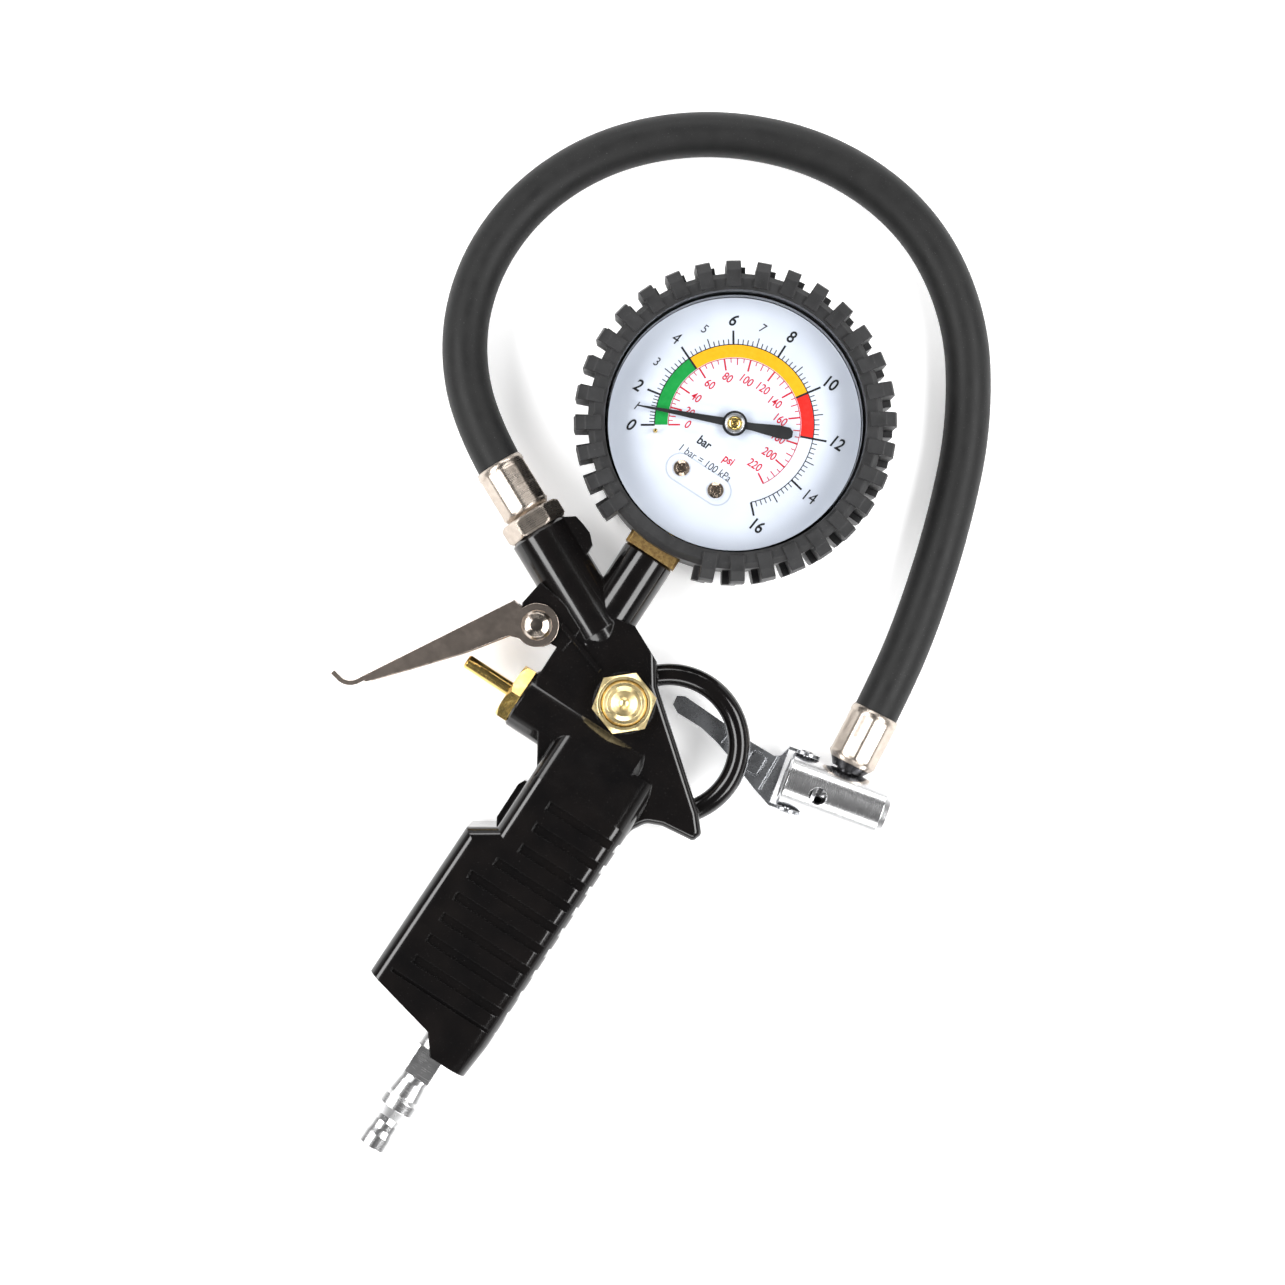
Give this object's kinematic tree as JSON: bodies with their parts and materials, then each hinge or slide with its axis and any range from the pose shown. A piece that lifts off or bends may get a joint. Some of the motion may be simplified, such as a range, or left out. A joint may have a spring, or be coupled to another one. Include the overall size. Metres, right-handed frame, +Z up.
{
  "type": "tyre inflator gun with pressure gauge",
  "caption": "Pistol-grip tyre inflator with a dial pressure gauge in a toothed rubber boot, a finger trigger, a bleed button, a short hose and a lever-lock tyre valve chuck.",
  "frame": {"origin": "on the table under the tool, at the middle of its outline without the hose, in line with the gauge", "axes": "the tool lies on its side, dial up: +Z is up, +Y runs from the air plug to the gauge, and +X points from the trigger to the back of the grip"},
  "size_m": [0.1684, 0.2768, 0.0336],
  "materials": {
    "body_paint": "glossy black enamel over die casting",
    "nickel": "bright nickel plate",
    "plug_nickel": "bright nickel plate on turned steel",
    "brass": "turned and polished brass",
    "raw_brass": "as-forged mottled brass",
    "boot_rubber": "matte moulded rubber",
    "hose_rubber": "satin extruded rubber",
    "seal_rubber": "nitrile rubber",
    "lens_clear": "clear moulded acrylic",
    "dial_white": "printed white dial",
    "pointer_black": "satin black paint",
    "steel": "plain steel",
    "lever_grey": "tumbled grey zinc plate",
    "trigger_nickel": "warm nickel plate on pressed steel",
    "chuck_chrome": "bright chrome plate",
    "case_steel": "black painted steel",
    "neck_black": "black oxide"
  },
  "bodies": {
    "tool": {"gun_body": "body_paint", "inlet_plug": "plug_nickel", "valve_packing_nut": "brass", "valve_stem_oring": "seal_rubber", "valve_seat": "brass", "valve_return_spring": "steel", "bleed_nut": "brass", "bleed_spring": "steel", "gauge_socket": "raw_brass", "gauge_case": "case_steel", "case_screws": "steel", "lens": "lens_clear", "gauge_boot": "boot_rubber", "bourdon_tube": "brass", "tube_tip": "brass", "movement_back_plate": "brass", "movement_front_plate": "brass", "movement_pillars": "brass", "dial_spacers": "brass", "hairspring": "steel", "dial_plate": "dial_white", "dial_screws": "steel", "stop_pin": "brass", "hose_nipple": "nickel", "hose_ferrule_near": "nickel", "hose_ferrule_far": "nickel", "hose": "hose_rubber", "chuck_barrel": "chuck_chrome", "chuck_neck": "neck_black", "chuck_grommet": "seal_rubber", "chuck_lever_pins": "steel"},
    "trigger": {"trigger_lever": "trigger_nickel", "trigger_rivet": "nickel"},
    "valve_train": {"push_rod": "brass", "poppet_seal": "seal_rubber", "valve_poppet": "brass"},
    "bleed_plunger": {"bleed_button": "brass", "bleed_seal": "seal_rubber", "bleed_retainer": "steel"},
    "sector": {"sector_gear": "brass"},
    "pointer_arbor": {"pinion_arbor": "brass", "pointer": "pointer_black"},
    "link": {"tube_link": "brass"},
    "chuck_clamp_lever": {"chuck_lever": "lever_grey"},
    "chuck_clamp_plunger": {"chuck_plunger": "steel", "plunger_oring": "seal_rubber", "depressor_pin": "steel"}
  },
  "joints": [
    {"name": "trigger_pivot", "type": "hinge", "parent": "tool", "child": "trigger", "pos_m": [-0.0138, 0.01125, 0.014], "axis": [0, 0, 1], "range_deg": [0, 32.7], "stiffness_Nm_per_rad": 0.05},
    {"name": "valve_stroke", "type": "slide", "parent": "tool", "child": "valve_train", "axis": [1, 0, 0], "range_m": [0, 0.004], "deforming": ["valve_return_spring"]},
    {"name": "bleed_press", "type": "slide", "parent": "tool", "child": "bleed_plunger", "axis": [0, 0, -1], "range_m": [0, 0.0015], "stiffness_N_per_m": 300, "deforming": ["bleed_spring"]},
    {"name": "sector_pivot", "type": "hinge", "parent": "tool", "child": "sector", "pos_m": [0.01229, 0.0708, 0.0154], "axis": [0, 0, 1], "range_deg": [-1.2, 27.4]},
    {"name": "pointer_pivot", "type": "hinge", "parent": "tool", "child": "pointer_arbor", "pos_m": [0, 0.0794, 0.0154], "axis": [0, 0, -1], "range_deg": [-11, 247]},
    {"name": "link_pivot", "type": "hinge", "parent": "sector", "child": "link", "pos_m": [0.01401, 0.0655, 0.0166], "axis": [0, 0, 1], "range_deg": [-27.6, 1.4]},
    {"name": "chuck_lever_pivot", "type": "hinge", "parent": "tool", "child": "chuck_clamp_lever", "pos_m": [0.06212, 0.01361, 0.007], "axis": [0.2221, -0.975, 0], "range_deg": [0, 62]},
    {"name": "chuck_plunger_stroke", "type": "slide", "parent": "tool", "child": "chuck_clamp_plunger", "axis": [0.975, 0.2221, 0], "range_m": [0, 0.0014]}
  ],
  "couplings": [
    {"joint": "valve_stroke", "follows": "trigger_pivot", "m_per_rad": 0.007},
    {"joint": "pointer_pivot", "follows": "sector_pivot", "ratio": 9},
    {"joint": "link_pivot", "follows": "sector_pivot", "ratio": -1},
    {"joint": "chuck_plunger_stroke", "follows": "chuck_lever_pivot", "m_per_rad": 0.00129}
  ]
}
